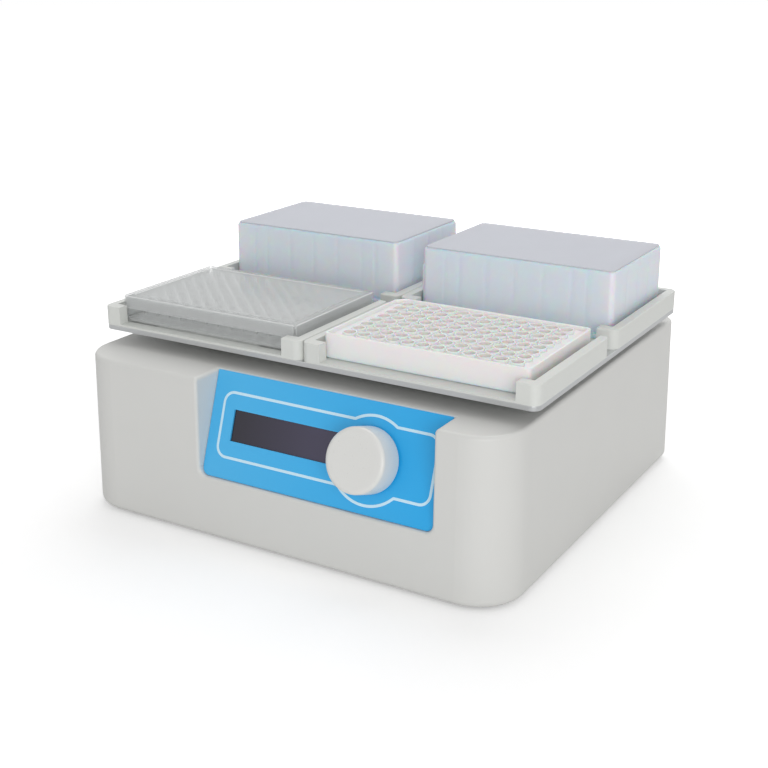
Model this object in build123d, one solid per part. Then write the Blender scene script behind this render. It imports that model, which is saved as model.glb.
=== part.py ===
"""Orbital microplate shaker with four plate holders, modelled as separate pieces.

Millimetres, +Z up, +X to the right and -Y towards the operator. The origin is on the bench,
under the middle of the whole object's box. A motor-driven crank carries the platform round a
small circle, and four idler cranks keep it level and square.
"""
from build123d import *
from math import cos, radians, sin, tan
import os

# Housing, with its front and rear reach measured from the middle of the platform
housing_width = 271.6
housing_front_reach = 132.1
housing_rear_reach = 116.6
housing_top = 94.0
housing_bottom = 1.5
housing_draft = 1.27
housing_wall = 5.0
housing_roof = 3.0
front_corner_radius = 25.0
rear_corner_radius = 10.0
top_edge_radius = 2.2
bottom_edge_radius = 4.2
boss_radius = 4.5
boss_inset = 16.0
boss_web = 2.0
boss_bore_depth = 12.0

# Control panel pocket, leaning back in the front of the housing
panel_tilt = 19.0
panel_setback = 20.6
panel_left_margin = 86.6
panel_right_margin = 38.0
panel_height = 59.6
panel_corner = 5.0
panel_wall = 3.0
pocket_edge_radius = 1.8
fascia_thickness = 1.0
fascia_gap = 0.3
window_to_knob = 2.25
window_height = 17.6
window_left = 15.1
window_drop = 29.2
window_rim = 1.6
lens_thickness = 1.0
lens_gap = 0.1
display_border = 3.0
display_depth = 6.0
display_board_side = 5.5
display_board_edge = 8.2

# Knob and the push encoder that it turns
knob_right = 42.9
knob_drop = 30.8
knob_radius = 17.75
knob_height = 15.6
knob_gap = 1.4
knob_edge = 1.1
knob_wall = 2.0
knob_face = 3.0
knob_hub_radius = 6.0
knob_nut_room = 3.0
press_travel = 0.8
press_slack = 0.2
encoder_shaft_radius = 3.0
encoder_bush_radius = 3.9
encoder_bush_length = 3.0
encoder_width = 14.0
encoder_depth = 7.0
encoder_wall = 1.4
encoder_disc = 2.2
encoder_disc_gap = 0.3
encoder_floor = 2.5
encoder_slot = 3.2
encoder_slot_gap = 0.1
nut_radius = 6.4
nut_thickness = 2.0
nut_room = 0.6
running_gap = 0.06
seat_gap = 0.02

# Base plate, feet and screws
base_plate_bottom = 3.0
base_plate_thickness = 2.0
base_plate_gap = 0.4
slot_length = 36.0
slot_width = 3.0
slot_spacing = 8.0
slot_count = 3
slot_side = 75.8
slot_end = 44.35
foot_radius = 9.0
foot_edge = 1.2
foot_inset_x = 32.0
foot_inset_y = 26.0
foot_stem_radius = 3.0
foot_stem_rise = 1.2
screw_radius = 1.5
screw_head_radius = 2.8
screw_head_height = 1.6
screw_length = 8.0
screw_gap = 0.2

# Platform and plate holders
platform_thickness = 2.7
platform_bottom = 101.3
platform_corner = 5.0
platform_edge_radius = 0.4
holder_seam = 0.6
holder_wall = 5.045
holder_row_gap = 10.32
holder_floor = 1.2
holder_height = 11.2
holder_corner = 4.8
holder_edge_radius = 0.7
holder_block_width = 12.0
holder_block_depth = 6.6
holder_lip = 1.8
holder_lip_rise = 1.0
rear_holder_spare = 4.275
holder_screw_inset = 29.475

# Microplates, on the common laboratory footprint
plate_length = 127.76
plate_width = 85.48
plate_height = 14.35
plate_corner = 3.2
plate_side_gap = 0.55
plate_end_gap = 0.3
flange_height = 2.4
deck_side_step = 3.38
deck_end_step = 2.34
deck_corner = 2.2
corner_notch = 5.0
well_spacing = 9.0
well_margin = 4.0
well_radius = 3.45
well_depth = 10.8
deck_border = 2.0
deck_step = 0.7
rib_spacing = 35.4
rib_width = 1.2
lid_wall = 0.8
lid_gap = 0.35
lid_top = 1.0
lid_skirt = 7.4
lid_edge_radius = 0.5
deep_plate_height = 38.4
deep_side_step = 2.88
deep_end_step = 2.74
deep_spacing = 18.0
deep_well_side = 16.2
deep_well_depth = 35.6
deep_ear_height = 26.5
deep_ear_inset = 5.5
deep_groove_width = 1.6
deep_groove_depth = 0.9
film_inset = 0.3
film_thickness = 0.8

# Crank drive
orbit_radius = 1.5
deck_bottom = 66.0
deck_thickness = 3.0
deck_side_room = 26.8
deck_end_room = 44.35
deck_corner_radius = 6.0
pillar_inset = 10.0
pillar_radius = 4.5
pillar_bore_depth = 10.0
motor_radius = 36.0
motor_height = 42.0
motor_wall = 4.0
motor_edge = 2.0
motor_boss_wall = 4.0
motor_boss_rise = 1.0
motor_screw_circle = 28.0
rotor_radius = 20.0
rotor_gap = 0.6
rotor_end_gap = 2.0
shaft_radius = 4.0
shaft_end_gap = 0.3
motor_bearing_wall = 4.0
crank_radius = 11.0
crank_gap = 3.0
crank_bore_depth = 12.0
crank_pin_radius = 5.0
pin_top_gap = 0.3
counterweight_radius = 36.0
counterweight_thickness = 11.0
counterweight_rise = 2.0
counterweight_rim = 5.0
counterweight_corner = 2.0
bearing_width = 6.0
large_bearing_radius = 11.0
small_bearing_radius = 9.5
idler_pin_radius = 3.0
idler_inset_x = 23.0
idler_inset_y = 30.0
idler_web_radius = 8.0
idler_web_thickness = 4.0
idler_web_gap = 0.4
bearing_seat = 1.5
tower_wall = 3.5
tower_height = 17.0
tower_flange = 4.0
tower_flange_thickness = 3.0
hub_wall = 7.0
hub_thickness = 6.4
hub_cover = 3.0

# Electrics
board_centre_gap = 12.0
board_width = 78.0
board_depth = 48.0
board_thickness = 1.6
board_standoff = 6.0
board_post_radius = 3.0
board_post_inset = 5.0
capacitor_radius = 6.0
capacitor_height = 18.0
transformer_width = 20.0
transformer_depth = 17.0
transformer_height = 16.0
relay_width = 10.0
relay_depth = 19.0
relay_height = 11.0
connector_width = 24.0
connector_depth = 6.0
connector_height = 9.0
electrics_rear = 48.6
supply_centre_gap = 28.0
supply_width = 60.0
supply_depth = 44.0
supply_height = 26.0
supply_edge_radius = 1.5
inlet_side = 57.8
inlet_z = 34.0
inlet_width = 27.0
inlet_height = 20.0
inlet_depth = 22.0
inlet_wall = 2.2
inlet_socket_depth = 16.0
inlet_flange_width = 50.0
inlet_flange_height = 24.0
inlet_flange_corner = 3.0
inlet_flange_thickness = 2.0
blade_width = 2.0
blade_height = 4.0
blade_recess = 3.0
blade_spacing = 7.0
blade_rise = 2.0
rocker_side = 99.8
rocker_width = 13.0
rocker_height = 19.0
rocker_depth = 14.0
rocker_frame_wall = 2.0
rocker_flange = 2.0
rocker_flange_thickness = 1.6
rocker_tilt = 10.0
rocker_gap = 0.4
rocker_end_gap = 1.4
rocker_pivot_depth = 3.0
rocker_pivot_radius = 1.0
rocker_crown = 1.8
rocker_dip = 1.4
rocker_hub_radius = 2.4

# Positions that follow from the sizes above
draft_slope = tan(radians(housing_draft))
tilt = radians(panel_tilt)
housing_depth = housing_front_reach + housing_rear_reach
deck_length = plate_length - 2 * deck_side_step
deck_width = plate_width - 2 * deck_end_step
deep_length = plate_length - 2 * deep_side_step
deep_width = plate_width - 2 * deep_end_step
well_columns = int((deck_length - 2 * well_margin) / well_spacing)
well_rows = int((deck_width - 2 * well_margin) / well_spacing)
deep_columns = int(deep_length / deep_spacing)
deep_rows = int(deep_width / deep_spacing)
knob_reach = housing_front_reach - panel_setback
knob_reach += cos(tilt) * (knob_gap + knob_height)
knob_reach += sin(tilt) * (knob_drop + knob_radius - knob_edge)
shell_reach = housing_rear_reach + (housing_top - housing_bottom - bottom_edge_radius) * draft_slope
rocker_half = rocker_height / 2 - rocker_end_gap
rocker_top = rocker_pivot_depth + rocker_crown
rocker_lift = (rocker_half - rocker_gap) * sin(radians(rocker_tilt)) + rocker_top * cos(radians(rocker_tilt))
rocker_rise = (rocker_half - rocker_gap) * cos(radians(rocker_tilt)) - rocker_top * sin(radians(rocker_tilt))
rocker_reach = housing_rear_reach + (housing_top - inlet_z) * draft_slope
rocker_reach += (rocker_lift - rocker_pivot_depth) * cos(radians(housing_draft))
rocker_reach -= rocker_rise * sin(radians(housing_draft))
rear_reach = max(shell_reach, rocker_reach)
platform_centre_y = (knob_reach - rear_reach) / 2
housing_centre_y = platform_centre_y + (housing_rear_reach - housing_front_reach) / 2
housing_front_y = platform_centre_y - housing_front_reach
inner_top = housing_top - housing_roof
base_plate_top = base_plate_bottom + base_plate_thickness
deck_top = deck_bottom + deck_thickness
panel_top_y = housing_front_y + panel_setback
panel_left = panel_left_margin - housing_width / 2
panel_right = housing_width / 2 - panel_right_margin
panel_width = panel_right - panel_left
panel_centre_x = (panel_left + panel_right) / 2
window_width = panel_width - window_left - window_to_knob - knob_radius - knob_right
panel_back = fascia_thickness + panel_wall
panel_frame = Plane(origin=(0, panel_top_y, housing_top), x_dir=(1, 0, 0), z_dir=(0, -cos(tilt), sin(tilt)))
window_x = panel_left + window_left + window_width / 2
knob_x = panel_right - knob_right
encoder_disc_bottom = -panel_back - encoder_depth + encoder_floor + encoder_disc_gap
encoder_shoulder = encoder_disc_bottom + encoder_disc + press_travel + press_slack
platform_top = platform_bottom + platform_thickness
seat_height = platform_top + holder_floor
holder_width = plate_length + 2 * plate_side_gap + 2 * holder_wall
platform_width = 2 * holder_width + holder_seam
holder_x = (holder_width + holder_seam) / 2
nest_depth = plate_width + 2 * plate_end_gap
front_holder_depth = holder_block_depth + nest_depth + holder_lip
rear_holder_depth = holder_block_depth + nest_depth + rear_holder_spare + holder_wall
platform_depth = front_holder_depth + holder_row_gap + rear_holder_depth
holder_screw_span = holder_width - 2 * holder_screw_inset
front_holder_y = platform_centre_y - platform_depth / 2
rear_holder_y = platform_centre_y + platform_depth / 2 - rear_holder_depth
front_plate_y = front_holder_y + holder_block_depth + plate_end_gap + plate_width / 2
rear_plate_y = rear_holder_y + rear_holder_depth - holder_wall - plate_end_gap - plate_width / 2
pin_y = platform_centre_y
axis_y = pin_y - orbit_radius
motor_bottom = deck_bottom - motor_height
deck_size_x = housing_width - 2 * deck_side_room
deck_size_y = housing_depth - 2 * deck_end_room
idler_span_x = deck_size_x - 2 * idler_inset_x
idler_span_y = deck_size_y - 2 * idler_inset_y
crank_bottom = deck_top + motor_boss_rise + crank_gap
crank_top = inner_top
pin_top = platform_bottom - pin_top_gap
hub_bottom = platform_bottom - hub_thickness
tower_top = deck_top + tower_height
drive_hole_radius = large_bearing_radius + hub_wall - hub_cover
idler_hole_radius = small_bearing_radius + hub_wall - hub_cover
electrics_centre_y = platform_centre_y + housing_rear_reach - electrics_rear
inlet_x = housing_width / 2 - inlet_side
rocker_x = housing_width / 2 - rocker_side
supply_x = supply_centre_gap + supply_width / 2
board_x = -board_centre_gap - board_width / 2
corner_signs = [(-1, -1), (1, -1), (-1, 1), (1, 1)]
idler_places = [(sx * idler_span_x / 2, axis_y + sy * idler_span_y / 2) for sx, sy in corner_signs]


def on_panel(shape, x=0.0, drop=0.0, lift=0.0):
    """Place a shape on the leaning panel, a distance below its top edge and above its face."""
    return panel_frame.location * Pos(x, -drop, lift) * shape


def on_rear(shape, x, z):
    """Place a shape on the drafted rear wall, its own z pointing out of the housing."""
    wall_y = housing_centre_y + half_depth_at(z)
    slope = radians(housing_draft)
    frame = Plane(origin=(x, wall_y, z), x_dir=(-1, 0, 0), z_dir=(0, cos(slope), sin(slope)))
    return frame.location * shape


def ring(outer, inner, height):
    """A plain ring standing on its lower face."""
    return extrude(Circle(outer) - Circle(inner), height)


def bar(radius, bottom, top, x=0.0, y=0.0):
    """An upright round bar between two heights."""
    return Pos(x, y, bottom) * extrude(Circle(radius), top - bottom)


def block(width, depth, height, x=0.0, y=0.0, z=0.0):
    """A box standing on its lower face."""
    return Pos(x, y, z) * Box(width, depth, height, align=(Align.CENTER, Align.CENTER, Align.MIN))


def half_width_at(height):
    """Half of the drafted housing's width at a height."""
    return housing_width / 2 + (housing_top - height) * draft_slope


def half_depth_at(height):
    """Half of the drafted housing's depth at a height."""
    return housing_depth / 2 + (housing_top - height) * draft_slope


def housing_outline(height, inset):
    """The housing's plan at a height: wide front corners and tighter rear ones."""
    grown = (housing_top - height) * draft_slope
    plan = Rectangle(2 * (half_width_at(height) - inset), 2 * (half_depth_at(height) - inset))
    plan = fillet(plan.vertices().group_by(Axis.Y)[0], front_corner_radius + grown - inset)
    plan = fillet(plan.vertices().group_by(Axis.Y)[-1], rear_corner_radius + grown - inset)
    return Pos(0, housing_centre_y, height) * plan


def housing_block(inset, bottom, top):
    """A drafted block between two heights, inset from the outer skin."""
    return extrude(housing_outline(bottom, inset), top - bottom, taper=housing_draft)


def pocket_block(margin, floor):
    """The leaning pocket's space, grown by a margin, from below the panel's face outwards."""
    beyond = panel_setback + knob_height
    width = panel_width + 2 * margin
    height = panel_height + margin + beyond
    plan = Pos(panel_centre_x, beyond - height / 2) * Rectangle(width, height)
    plan = fillet(plan.vertices().group_by(Axis.Y)[0], panel_corner + margin)
    return on_panel(extrude(plan, floor + beyond), lift=-floor)


def corner_places(half_width, half_depth, centre_y):
    """Four places at the corners of a rectangle."""
    return [(sx * half_width, centre_y + sy * half_depth) for sx, sy in corner_signs]


def boss_places():
    """The screw bosses' places in the four corners of the housing."""
    return corner_places(housing_width / 2 - boss_inset, housing_depth / 2 - boss_inset, housing_centre_y)


def foot_places():
    """The feet's places under the base plate."""
    return corner_places(housing_width / 2 - foot_inset_x, housing_depth / 2 - foot_inset_y, housing_centre_y)


def is_pocket_mouth(edge):
    """Whether an edge is one of the two long ones where the pocket's sides meet the front wall."""
    place = edge.center()
    at_side = abs(abs(place.X - panel_centre_x) - panel_width / 2) < 0.1
    return at_side and place.Y < housing_front_y + 1 and edge.length > panel_height / 2


def is_outer_top(edge):
    """Whether a top edge belongs to the housing's outline rather than to the pocket."""
    place = edge.center()
    inside_x = abs(place.X) < half_width_at(housing_top) - front_corner_radius
    inside_y = abs(place.Y - housing_centre_y) < half_depth_at(housing_top) - 1
    return not (inside_x and inside_y)


def housing_skin():
    """The outer form of the housing: drafted, with rounded edges and the panel pocket cut in."""
    skin = housing_block(0, housing_bottom, housing_top) - pocket_block(0, fascia_thickness)
    skin = fillet(skin.edges().filter_by(is_pocket_mouth), pocket_edge_radius)
    skin = fillet(skin.edges().group_by(Axis.Z)[-1].filter_by(is_outer_top), top_edge_radius)
    return fillet(skin.edges().group_by(Axis.Z)[0], bottom_edge_radius)


def screw_bosses():
    """The four screw bosses, each tied to the side wall by a web."""
    skin = housing_block(housing_wall / 2, base_plate_top, inner_top + housing_roof / 2)
    height = inner_top + housing_roof / 2 - base_plate_top
    bosses = []
    for x, y in boss_places():
        side = 1 if x > 0 else -1
        post = bar(boss_radius, base_plate_top, base_plate_top + height, x, y)
        post += block(boss_inset, boss_web, height, x + side * boss_inset / 2, y, base_plate_top)
        post -= bar(screw_radius + seat_gap, base_plate_top, base_plate_top + boss_bore_depth, x, y)
        bosses.append(post & skin)
    return bosses


def housing_shell():
    """The moulded housing: an open-bottomed shell, its panel pocket, bosses and openings."""
    cavity = housing_block(housing_wall, housing_bottom, inner_top)
    cavity -= pocket_block(panel_wall, panel_back)
    shell = housing_skin() - cavity
    shell += screw_bosses()
    shell -= bar(drive_hole_radius, inner_top - 1, housing_top + 1, 0, axis_y)
    for x, y in idler_places:
        shell -= bar(idler_hole_radius, inner_top - 1, housing_top + 1, x, y)
    lens_seat = extrude(Rectangle(window_width + 2 * lens_gap, window_height + 2 * lens_gap), lens_thickness)
    shell -= on_panel(lens_seat, window_x, window_drop, -fascia_thickness - lens_thickness)
    view = extrude(Rectangle(window_width - 2 * window_rim, window_height - 2 * window_rim), panel_back)
    shell -= on_panel(view, window_x, window_drop, -panel_back)
    bush_hole = extrude(Circle(encoder_bush_radius + seat_gap), panel_back)
    shell -= on_panel(bush_hole, knob_x, knob_drop, -panel_back)
    for x, width, height in (
        (inlet_x, inlet_width, inlet_height),
        (rocker_x, rocker_width + 2 * rocker_frame_wall, rocker_height + 2 * rocker_frame_wall),
    ):
        cutter = Box(width + 2 * screw_gap, height + 2 * screw_gap, 3 * housing_wall)
        shell -= on_rear(cutter, x, inlet_z)
    return shell


def base_plate():
    """The flat bottom cover, with holes for screws and feet and rows of cooling slots."""
    plate = extrude(housing_outline(base_plate_bottom, housing_wall + base_plate_gap), base_plate_thickness)
    below = base_plate_bottom - 1
    above = base_plate_top + 1
    for x, y in boss_places():
        plate -= bar(screw_radius + screw_gap, below, above, x, y)
    for x, y in foot_places():
        plate -= bar(foot_stem_radius + seat_gap, below, above, x, y)
    slot = extrude(Rectangle(slot_length, slot_width), above - below)
    for x, y in corner_places(housing_width / 2 - slot_side, housing_depth / 2 - slot_end, housing_centre_y):
        for place in GridLocations(slot_spacing, slot_spacing, 1, slot_count):
            plate -= Pos(x, y, below) * place * slot
    return plate


def rubber_feet():
    """Four turned rubber feet, each with a stem pushed through the base plate."""
    stem_top = base_plate_top + foot_stem_rise
    outline = Polyline(
        (0, 0),
        (foot_radius - foot_edge, 0),
        (foot_radius, foot_edge),
        (foot_radius, base_plate_bottom),
        (foot_stem_radius, base_plate_bottom),
        (foot_stem_radius, stem_top),
        (0, stem_top),
        close=True,
    )
    foot = revolve(Plane.XZ * make_face(outline), Axis.Z)
    return [Pos(x, y, 0) * foot for x, y in foot_places()]


def screw():
    """A round-headed screw with a hexagon socket: its head sits above zero and its shank below."""
    head = extrude(Circle(screw_head_radius), screw_head_height)
    shank = Pos(0, 0, -screw_length) * extrude(Circle(screw_radius), screw_length)
    socket = Pos(0, 0, screw_head_height / 2) * extrude(RegularPolygon(screw_radius, 6), screw_head_height)
    return head + shank - socket


def base_screws():
    """Four screws that hold the base plate to the housing's bosses."""
    return [Pos(x, y, base_plate_bottom) * Rot(180, 0, 0) * screw() for x, y in boss_places()]


def control_fascia():
    """The coloured front panel with its display opening and the hole round the knob's nut."""
    width = panel_width - 2 * fascia_gap
    height = panel_height - 2 * fascia_gap
    plan = Pos(0, -height / 2) * Rectangle(width, height)
    plan = fillet(plan.vertices().group_by(Axis.Y)[0], panel_corner - fascia_gap)
    plan = Pos(panel_centre_x, -fascia_gap) * plan
    plan -= Pos(window_x, -window_drop) * Rectangle(window_width, window_height)
    plan -= Pos(knob_x, -knob_drop) * Circle(nut_radius + nut_room)
    return on_panel(extrude(plan, fascia_thickness), lift=-fascia_thickness)


def display_lens():
    """The tinted window, set into the panel wall behind the fascia's opening."""
    lens = extrude(Rectangle(window_width, window_height), lens_thickness)
    return on_panel(lens, window_x, window_drop, -fascia_thickness - lens_thickness)


def display_module():
    """The display behind the window: a framed glass on its own circuit board."""
    glass = Rectangle(window_width + 2 * display_border, window_height + 2 * display_border)
    module = on_panel(extrude(glass, display_depth), window_x, window_drop, -panel_back - display_depth)
    board = Rectangle(window_width + 2 * display_board_side, window_height + 2 * display_board_edge)
    board = extrude(board, board_thickness)
    return module + on_panel(board, window_x, window_drop, -panel_back - display_depth - board_thickness)


def encoder_body():
    """The push encoder: a square case behind the panel and a bush through it."""
    bottom = -panel_back - encoder_depth
    case = extrude(Rectangle(encoder_width, encoder_width), encoder_depth)
    case += Pos(0, 0, encoder_depth) * extrude(Circle(encoder_bush_radius), panel_back + encoder_bush_length)
    bore = extrude(Circle(encoder_shaft_radius + running_gap), encoder_depth + panel_back + encoder_bush_length)
    case -= Pos(0, 0, encoder_floor) * bore
    room = extrude(Circle(encoder_width / 2 - encoder_wall), encoder_disc + 2 * encoder_disc_gap)
    case -= Pos(0, 0, encoder_floor) * room
    return on_panel(case, knob_x, knob_drop, bottom)


def encoder_nut():
    """The hexagonal nut that clamps the encoder to the panel wall."""
    nut = extrude(RegularPolygon(nut_radius, 6) - Circle(encoder_bush_radius + seat_gap), nut_thickness)
    return on_panel(nut, knob_x, knob_drop, -fascia_thickness)


def encoder_disc_rotor():
    """The encoder's disc, which turns with the shaft that slides through its square hole."""
    side = encoder_slot + 2 * encoder_slot_gap
    plan = Circle(encoder_width / 2 - encoder_wall - encoder_disc_gap) - Rectangle(side, side)
    return on_panel(extrude(plan, encoder_disc), knob_x, knob_drop, encoder_disc_bottom)


def encoder_shaft():
    """The encoder's shaft, round in its bush, with a square tail in the disc."""
    length = knob_gap + knob_height - knob_face - encoder_shoulder
    tail_length = encoder_shoulder - encoder_disc_bottom - press_travel
    shaft = extrude(Circle(encoder_shaft_radius), length)
    shaft += Pos(0, 0, -tail_length) * extrude(Rectangle(encoder_slot, encoder_slot), tail_length)
    return on_panel(shaft, knob_x, knob_drop, encoder_shoulder)


def control_knob():
    """The large plain knob: a round cap with a soft front edge and a hub on the shaft."""
    cap = extrude(Circle(knob_radius), knob_height)
    cap = chamfer(cap.edges().group_by(Axis.Z)[-1], knob_edge)
    cap -= ring(knob_radius - knob_wall, knob_hub_radius, knob_height - knob_face)
    cap -= extrude(Circle(nut_radius + nut_room), knob_nut_room)
    cap -= extrude(Circle(encoder_shaft_radius + seat_gap), knob_height - knob_face)
    return on_panel(cap, knob_x, knob_drop, knob_gap)


def platform_plate():
    """The metal platform that carries the four holders."""
    plate = extrude(RectangleRounded(platform_width, platform_depth, platform_corner), platform_thickness)
    plate = fillet(plate.edges().group_by(Axis.Z)[-1], platform_edge_radius)
    plate = Pos(0, platform_centre_y, platform_bottom) * plate
    for x, y in holder_screw_places():
        plate -= bar(screw_radius + screw_gap, platform_bottom - 1, platform_top + 1, x, y)
    return plate


def holder_screw_places():
    """Two screws through the floor of each holder."""
    return [
        (side * holder_x + shift * holder_screw_span / 2, y)
        for y in (front_plate_y, rear_plate_y)
        for side in (-1, 1)
        for shift in (-1, 1)
    ]


def holder(depth, walled):
    """One plate holder, its front edge on y = 0 and centred on x = 0.

    A thin floor with two side walls and a corner block at each end of the open front. A rear
    holder also has a wall behind the plate, and a front one a low lip.
    """
    body = extrude(Pos(0, depth / 2) * RectangleRounded(holder_width, depth, holder_corner), holder_height)
    body = fillet(body.edges().group_by(Axis.Z)[-1], holder_edge_radius)
    back = depth - (holder_wall if walled else holder_lip)
    nest = back - holder_block_depth
    nest_y = holder_block_depth + nest / 2
    body -= block(holder_width - 2 * holder_wall, nest, holder_height, 0, nest_y, holder_floor)
    mouth = holder_width - 2 * holder_block_width
    body -= block(mouth, 3 * holder_block_depth, holder_height, 0, 0, holder_floor)
    if not walled:
        rise = holder_floor + holder_lip_rise
        body -= block(2 * holder_width, 2 * holder_lip, holder_height, 0, depth, rise)
    return body


def screw_cone(gap):
    """A countersunk screw in the holder's floor and the platform, grown by a gap all round."""
    radius = screw_radius + gap
    head = screw_head_radius + gap
    outline = Polyline(
        (0, platform_bottom), (radius, platform_bottom), (radius, seat_height - (head - radius)), (head, seat_height),
        (0, seat_height), close=True,
    )
    return revolve(Plane.XZ * make_face(outline), Axis.Z)


def placed_holder(side, rear):
    """A holder on the platform, with its countersunk screw holes."""
    if rear:
        body = Pos(side * holder_x, rear_holder_y, platform_top) * holder(rear_holder_depth, True)
    else:
        body = Pos(side * holder_x, front_holder_y, platform_top) * holder(front_holder_depth, False)
    for x, y in holder_screw_places():
        body -= Pos(x, y, 0) * screw_cone(seat_gap)
    return body


def holder_screws():
    """The holders' countersunk screws, flush with the holder floors."""
    return [Pos(x, y, 0) * screw_cone(0) for x, y in holder_screw_places()]


def plate_outline(length, width, corner, notch=0.0):
    """A plate's plan: round corners, the left rear one cut straight where there is a notch."""
    plan = Rectangle(length, width)
    if notch:
        plan = chamfer(plan.vertices().group_by(Axis.X)[0].sort_by(Axis.Y)[-1:], notch)
    return fillet([v for v in plan.vertices() if not (notch and v.X < 0 < v.Y)], corner)


def with_wells(plan, hole, pitch, columns, rows):
    """A plan with a grid of holes cut through it."""
    wire = hole.face().outer_wire()
    places = GridLocations(pitch, pitch, columns, rows).locations
    return Face(plan.face().outer_wire(), [wire.moved(place) for place in places])


def shallow_plate(notch):
    """A 96-well plate: a flange, a slightly smaller deck, a grid of wells and a raised border."""
    deck = plate_outline(deck_length, deck_width, deck_corner, notch)
    floor_height = plate_height - deck_step - well_depth
    plate = extrude(plate_outline(plate_length, plate_width, plate_corner, notch), flange_height)
    plate += Pos(0, 0, flange_height) * extrude(deck, floor_height - flange_height)
    hole = RegularPolygon(well_radius, 8, rotation=22.5)
    wells = with_wells(deck, hole, well_spacing, well_columns, well_rows)
    plate += Pos(0, 0, floor_height) * extrude(wells, well_depth)
    border = deck - plate_outline(deck_length - 2 * deck_border, deck_width - 2 * deck_border, deck_corner, notch)
    return plate + Pos(0, 0, plate_height - deck_step) * extrude(border, deck_step)


def white_plate():
    """The opaque plate in the right front holder."""
    return Pos(holder_x, front_plate_y, seat_height) * shallow_plate(corner_notch)


def clear_plate():
    """The clear plate in the left front holder, with three ribs on its front under the lid."""
    plate = shallow_plate(0)
    depth = (plate_width - deck_width) / 2
    height = plate_height + lid_top - lid_skirt - flange_height - lid_gap
    for place in GridLocations(rib_spacing, 1, 3, 1):
        plate += place * block(rib_width, depth, height, 0, depth / 2 - plate_width / 2, flange_height)
    return Pos(-holder_x, front_plate_y, seat_height) * plate


def clear_lid():
    """The clear plate's lid: a thin tray turned upside down over the deck."""
    length = deck_length + 2 * lid_gap
    width = deck_width + 2 * lid_gap
    lid = extrude(RectangleRounded(length + 2 * lid_wall, width + 2 * lid_wall, deck_corner + lid_wall), lid_skirt)
    lid = fillet(lid.edges().group_by(Axis.Z)[-1], lid_edge_radius)
    lid -= extrude(RectangleRounded(length, width, deck_corner), lid_skirt - lid_top)
    return Pos(-holder_x, front_plate_y, seat_height + plate_height + lid_top - lid_skirt) * lid


def fluted_outline():
    """The deep-well plate's plan, with a groove in its sides between every two wells."""
    plan = RectangleRounded(deep_length, deep_width, plate_corner)
    across = Rectangle(deep_groove_width, deep_width + 2)
    across -= Rectangle(deep_groove_width, deep_width - 2 * deep_groove_depth)
    for place in GridLocations(deep_spacing, 1, deep_columns - 1, 1):
        plan -= place * across
    along = Rectangle(deep_length + 2, deep_groove_width)
    along -= Rectangle(deep_length - 2 * deep_groove_depth, deep_groove_width)
    for place in GridLocations(1, deep_spacing, 1, deep_rows - 1):
        plan -= place * along
    return plan


def deep_plate(side):
    """A deep-well plate: a tall fluted body of square wells on a flange, stepped on its left."""
    plan = fluted_outline()
    floor_height = deep_plate_height - deep_well_depth
    plate = extrude(plate_outline(plate_length, plate_width, plate_corner), flange_height)
    plate += Pos(0, 0, flange_height) * extrude(plan, floor_height - flange_height)
    hole = Rectangle(deep_well_side, deep_well_side)
    wells = with_wells(plan, hole, deep_spacing, deep_columns, deep_rows)
    plate += Pos(0, 0, floor_height) * extrude(wells, deep_well_depth)
    ear_width = (plate_length - deep_length) / 2 + deep_groove_depth
    ear_x = (ear_width - plate_length) / 2
    plate += block(ear_width, deep_width - 2 * deep_ear_inset, deep_ear_height, ear_x)
    return Pos(side * holder_x, rear_plate_y, seat_height) * plate


def deep_film(side):
    """The thin film sealed over a deep-well plate."""
    length = deep_length - 2 * deep_groove_depth - 2 * film_inset
    width = deep_width - 2 * deep_groove_depth - 2 * film_inset
    film = extrude(RectangleRounded(length, width, plate_corner - film_inset), film_thickness)
    return Pos(side * holder_x, rear_plate_y, seat_height + deep_plate_height) * film


def pillar_places():
    """The deck's pillars, near its corners."""
    return corner_places(deck_size_x / 2 - pillar_inset, deck_size_y / 2 - pillar_inset, axis_y)


def motor_screw_places():
    """The motor's screws, on a circle round its shaft."""
    places = PolarLocations(motor_screw_circle, 4, start_angle=45)
    return [(place.position.X, axis_y + place.position.Y) for place in places]


def deck_plate():
    """The steel deck inside the housing, which carries the motor and the idler towers."""
    plate = extrude(RectangleRounded(deck_size_x, deck_size_y, deck_corner_radius), deck_thickness)
    plate = Pos(0, axis_y, deck_bottom) * plate
    boss = shaft_radius + motor_bearing_wall + motor_boss_wall
    plate -= bar(boss + screw_gap, deck_bottom - 1, deck_top + 1, 0, axis_y)
    for x, y in idler_places:
        plate -= bar(small_bearing_radius - bearing_seat, deck_bottom - 1, deck_top + 1, x, y)
    for x, y in pillar_places() + motor_screw_places():
        plate -= bar(screw_radius + screw_gap, deck_bottom - 1, deck_top + 1, x, y)
    return plate


def deck_pillars():
    """Four hexagonal pillars between the base plate and the deck."""
    post = extrude(RegularPolygon(pillar_radius, 6), deck_bottom - base_plate_top)
    bore = Circle(screw_radius + seat_gap)
    post -= Pos(0, 0, deck_bottom - base_plate_top - pillar_bore_depth) * extrude(bore, pillar_bore_depth)
    return [Pos(x, y, base_plate_top) * post for x, y in pillar_places()]


def deck_screws():
    """The screws that hold the deck to its pillars and the motor to the deck."""
    return [Pos(x, y, deck_top) * screw() for x, y in pillar_places() + motor_screw_places()]


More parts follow.
